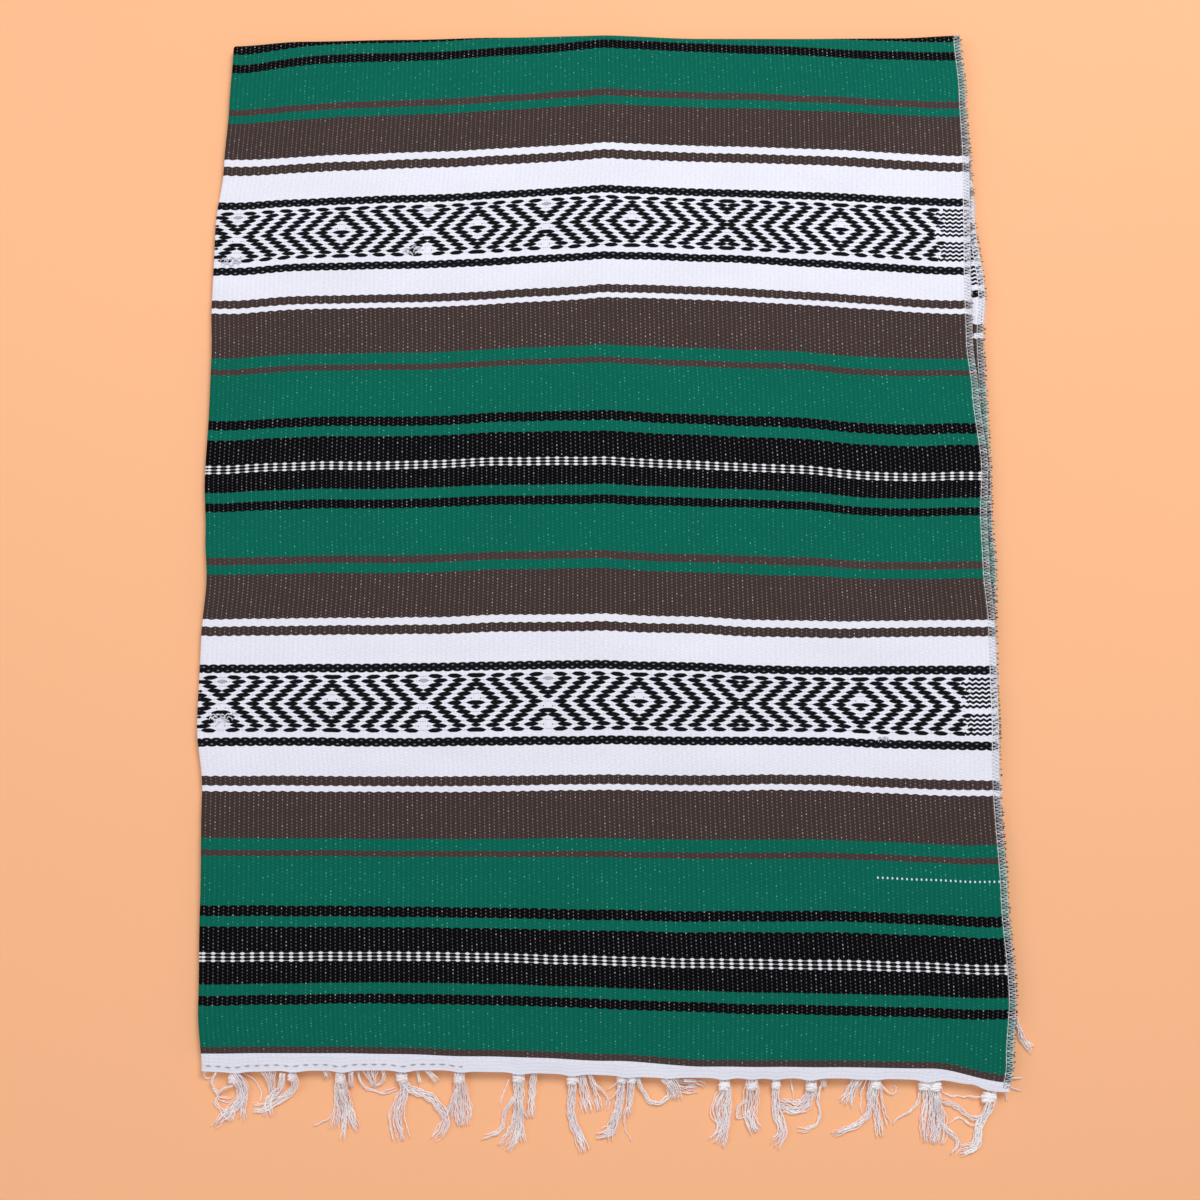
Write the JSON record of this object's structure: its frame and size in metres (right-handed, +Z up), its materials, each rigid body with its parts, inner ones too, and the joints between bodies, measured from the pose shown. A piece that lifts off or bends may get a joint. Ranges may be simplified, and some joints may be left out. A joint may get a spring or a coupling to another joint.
{
  "type": "folded mexican serape",
  "caption": "Striped weft-faced serape blanket folded into a flat rectangular pad, with overlocked edges and a knotted fringe.",
  "frame": {"origin": "middle of the underside of the folded serape, fringe included", "axes": "+Z up from the surface it lies on, +Y towards the crosswise fold, -Y towards the fringe, +X towards the overlocked edges"},
  "size_m": [0.7802, 1.0848, 0.0114],
  "materials": {
    "woven_cloth": "matte weft-faced wool blend with green, brown, black and white stripes",
    "heading_cloth": "matte white plain weave",
    "overlock_thread": "matte white serging thread over the stripes",
    "fringe_yarn": "soft matte cotton yarn"
  },
  "bodies": {
    "root": {"top_panel": "woven_cloth", "top_heading": "heading_cloth", "hidden_layers": "woven_cloth", "hidden_headings": "heading_cloth", "second_layer_edge": "woven_cloth", "overlock_top": "overlock_thread", "overlock_second": "overlock_thread", "overlock_third": "overlock_thread", "overlock_lowest": "overlock_thread", "fringe_lock_01": "fringe_yarn", "fringe_lock_02": "fringe_yarn", "fringe_lock_03": "fringe_yarn", "fringe_lock_04": "fringe_yarn", "fringe_lock_05": "fringe_yarn", "fringe_lock_06": "fringe_yarn", "fringe_lock_07": "fringe_yarn", "fringe_lock_08": "fringe_yarn", "fringe_lock_09": "fringe_yarn", "fringe_lock_10": "fringe_yarn", "fringe_lock_11": "fringe_yarn", "fringe_lock_12": "fringe_yarn", "fringe_lock_13": "fringe_yarn", "fringe_lock_14": "fringe_yarn", "fringe_lock_15": "fringe_yarn", "fringe_lock_16": "fringe_yarn", "fringe_lock_17": "fringe_yarn", "fringe_lock_18": "fringe_yarn", "fringe_lock_19": "fringe_yarn", "fringe_lock_20": "fringe_yarn", "fringe_lock_21": "fringe_yarn", "fringe_lock_22": "fringe_yarn", "fringe_lock_23": "fringe_yarn", "side_lock": "fringe_yarn"}
  },
  "joints": []
}
